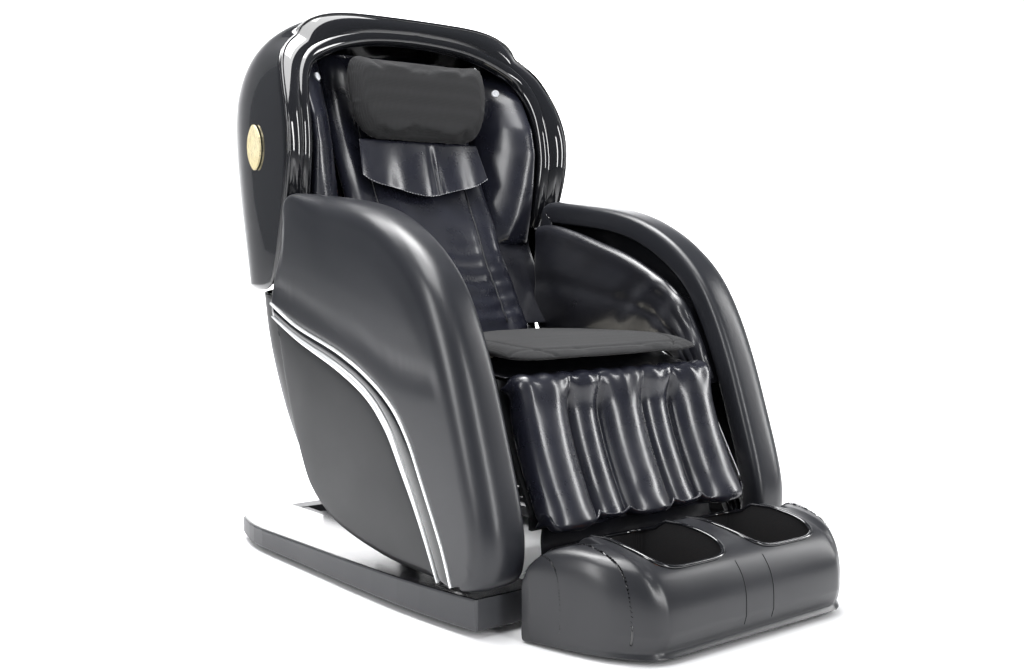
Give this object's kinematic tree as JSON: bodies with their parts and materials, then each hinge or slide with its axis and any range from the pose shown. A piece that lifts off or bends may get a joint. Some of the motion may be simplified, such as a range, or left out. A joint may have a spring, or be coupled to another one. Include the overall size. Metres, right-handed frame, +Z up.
{
  "type": "massage chair",
  "caption": "Reclining full-body massage chair with tilting seat, padded arms, hooded back, roller carriage, calf rest and sliding foot unit on two floor runners.",
  "frame": {"origin": "centre of the overall box, on the floor", "axes": "+Z up, the front of the chair faces -Y, x = 0 is the plane of symmetry"},
  "size_m": [0.832, 1.3898, 1.2026],
  "materials": {
    "satin_shell": "satin",
    "gloss_black": "gloss",
    "silver_trim": "satin",
    "gold_badge": "satin",
    "navy_leather": "gloss",
    "charcoal_fabric": "matte",
    "beige_fabric": "matte",
    "dark_plastic": "matte",
    "grey_plastic": "satin",
    "steel": "satin",
    "painted_steel": "satin",
    "roller_plastic": "satin",
    "motor_alloy": "satin",
    "rubber": "matte"
  },
  "bodies": {
    "base": {"base_frame": "painted_steel", "control_box": "grey_plastic", "base_runner_left": "grey_plastic", "base_runner_right": "grey_plastic", "rubber_foot_left": "rubber", "rubber_foot_right": "rubber"},
    "power_switch": {"power_rocker": "gloss_black"},
    "chassis": {"seat_frame": "painted_steel", "seat_pan": "painted_steel", "air_pump": "dark_plastic", "seat_cushion": "beige_fabric", "seat_flap": "charcoal_fabric", "rear_cover": "satin_shell", "arm_shell_left": "satin_shell", "arm_shell_right": "satin_shell", "arm_bolster_left": "navy_leather", "arm_bolster_right": "navy_leather", "trim_upper_left": "silver_trim", "trim_upper_right": "silver_trim", "band_left": "gloss_black", "band_right": "gloss_black", "trim_lower_left": "silver_trim", "trim_lower_right": "silver_trim", "lower_panel_left": "grey_plastic", "lower_panel_right": "grey_plastic"},
    "backrest": {"back_frame": "painted_steel", "back_pad": "navy_leather", "back_shell": "gloss_black", "hood_rim": "gloss_black", "lift_motor": "motor_alloy", "wing_pad_left": "navy_leather", "wing_pad_right": "navy_leather", "side_badge_left": "gold_badge", "side_badge_right": "gold_badge"},
    "screw": {"lift_screw": "steel"},
    "roller_carriage": {"carriage": "dark_plastic"},
    "kneading_shaft": {"knead_shaft": "steel"},
    "roller_arm_left": {"roller_arm_left": "dark_plastic"},
    "roller_arm_right": {"roller_arm_right": "dark_plastic"},
    "roller_upper_left": {"roller_upper_left": "roller_plastic"},
    "roller_upper_right": {"roller_upper_right": "roller_plastic"},
    "roller_lower_left": {"roller_lower_left": "roller_plastic"},
    "roller_lower_right": {"roller_lower_right": "roller_plastic"},
    "head_pillow": {"head_pillow": "charcoal_fabric", "pillow_skirt": "navy_leather"},
    "leg_rest": {"calf_tray": "dark_plastic", "calf_pad_left": "navy_leather", "calf_pad_right": "navy_leather", "calf_pad_centre": "navy_leather", "calf_pad_floor": "navy_leather"},
    "foot_unit": {"foot_shell": "grey_plastic"},
    "sole_roller_left": {"sole_roller_left": "roller_plastic"},
    "sole_roller_right": {"sole_roller_right": "roller_plastic"},
    "tilt_drive": {"tilt_drive": "motor_alloy"},
    "tilt_rod": {"tilt_rod": "steel"},
    "recline_drive": {"recline_drive": "motor_alloy"},
    "recline_rod": {"recline_rod": "steel"},
    "lift_drive": {"lift_drive": "motor_alloy"},
    "lift_rod": {"lift_rod": "steel"}
  },
  "joints": [
    {"name": "seat_tilt", "type": "hinge", "parent": "base", "child": "chassis", "pos_m": [0, 0.06, 0.125], "axis": [-1, 0, 0], "range_deg": [0, 15]},
    {"name": "back_recline", "type": "hinge", "parent": "chassis", "child": "backrest", "pos_m": [0, 0.18, 0.42], "axis": [-1, 0, 0], "range_deg": [0, 22]},
    {"name": "leg_lift", "type": "hinge", "parent": "chassis", "child": "leg_rest", "pos_m": [0, -0.272, 0.35], "axis": [-1, 0, 0], "range_deg": [0, 54]},
    {"name": "foot_extension", "type": "slide", "parent": "leg_rest", "child": "foot_unit", "axis": [0, -0.401, -0.9161], "range_m": [0, 0.098]},
    {"name": "carriage_travel", "type": "slide", "parent": "backrest", "child": "roller_carriage", "axis": [0, 0.4717, 0.8818], "range_m": [-0.17, 0.17]},
    {"name": "screw_turn", "type": "hinge", "parent": "backrest", "child": "screw", "pos_m": [0, 0.36058, 0.55434], "axis": [0, 0.4717, 0.8818], "continuous": true},
    {"name": "knead_turn", "type": "hinge", "parent": "roller_carriage", "child": "kneading_shaft", "pos_m": [0, 0.43586, 0.76293], "axis": [1, 0, 0], "continuous": true},
    {"name": "tap_left", "type": "hinge", "parent": "roller_carriage", "child": "roller_arm_left", "pos_m": [0, 0.43586, 0.76293], "axis": [-1, 0, 0], "range_deg": [-8, 8], "stiffness_Nm_per_rad": 12},
    {"name": "tap_right", "type": "hinge", "parent": "roller_carriage", "child": "roller_arm_right", "pos_m": [0, 0.43586, 0.76293], "axis": [-1, 0, 0], "range_deg": [-8, 8], "stiffness_Nm_per_rad": 12},
    {"name": "roller_upper_left_turn", "type": "hinge", "parent": "roller_arm_left", "child": "roller_upper_left", "pos_m": [0, 0.44959, 0.82251], "axis": [1, 0, 0], "continuous": true},
    {"name": "roller_upper_right_turn", "type": "hinge", "parent": "roller_arm_right", "child": "roller_upper_right", "pos_m": [0, 0.44959, 0.82251], "axis": [1, 0, 0], "continuous": true},
    {"name": "roller_lower_left_turn", "type": "hinge", "parent": "roller_arm_left", "child": "roller_lower_left", "pos_m": [0, 0.39393, 0.71845], "axis": [1, 0, 0], "continuous": true},
    {"name": "roller_lower_right_turn", "type": "hinge", "parent": "roller_arm_right", "child": "roller_lower_right", "pos_m": [0, 0.39393, 0.71845], "axis": [1, 0, 0], "continuous": true},
    {"name": "pillow_lift", "type": "hinge", "parent": "backrest", "child": "head_pillow", "pos_m": [0, 0.388, 1.112], "axis": [-1, 0, 0], "range_deg": [0, 35]},
    {"name": "sole_roller_left_turn", "type": "hinge", "parent": "foot_unit", "child": "sole_roller_left", "pos_m": [0, -0.54, 0.0805], "axis": [1, 0, 0], "continuous": true},
    {"name": "sole_roller_right_turn", "type": "hinge", "parent": "foot_unit", "child": "sole_roller_right", "pos_m": [0, -0.54, 0.0805], "axis": [1, 0, 0], "continuous": true},
    {"name": "power_rock", "type": "hinge", "parent": "base", "child": "power_switch", "pos_m": [0.07, 0.5415, 0.072], "axis": [-1, 0, 0], "range_deg": [-6, 6]},
    {"name": "tilt_drive_swing", "type": "hinge", "parent": "base", "child": "tilt_drive", "pos_m": [0, -0.22, 0.085], "axis": [-1, 0, 0], "range_deg": [0, 7]},
    {"name": "tilt_rod_stroke", "type": "slide", "parent": "tilt_drive", "child": "tilt_rod", "axis": [0, 0.3861, 0.9224], "range_m": [0, 0.065]},
    {"name": "recline_drive_swing", "type": "hinge", "parent": "chassis", "child": "recline_drive", "pos_m": [0.105, -0.13, 0.2], "axis": [-1, 0, 0], "range_deg": [-2, 1]},
    {"name": "recline_rod_stroke", "type": "slide", "parent": "recline_drive", "child": "recline_rod", "axis": [0, 0.9826, 0.1859], "range_m": [-0.063, 0]},
    {"name": "lift_drive_swing", "type": "hinge", "parent": "chassis", "child": "lift_drive", "pos_m": [-0.105, 0.04, 0.24], "axis": [-1, 0, 0], "range_deg": [-1, 2]},
    {"name": "lift_rod_stroke", "type": "slide", "parent": "lift_drive", "child": "lift_rod", "axis": [0, -0.9975, 0.0707], "range_m": [0, 0.088]}
  ],
  "couplings": [
    {"joint": "foot_extension", "follows": "leg_lift", "m_per_rad": 0.10375},
    {"joint": "screw_turn", "follows": "carriage_travel", "rad_per_m": 157.08},
    {"joint": "tilt_drive_swing", "follows": "seat_tilt", "ratio": 0.40359},
    {"joint": "tilt_rod_stroke", "follows": "seat_tilt", "m_per_rad": 0.23489},
    {"joint": "recline_drive_swing", "follows": "back_recline", "ratio": 0.00079},
    {"joint": "recline_rod_stroke", "follows": "back_recline", "m_per_rad": -0.16056},
    {"joint": "lift_drive_swing", "follows": "leg_lift", "ratio": 0.01949},
    {"joint": "lift_rod_stroke", "follows": "leg_lift", "m_per_rad": 0.09118}
  ]
}
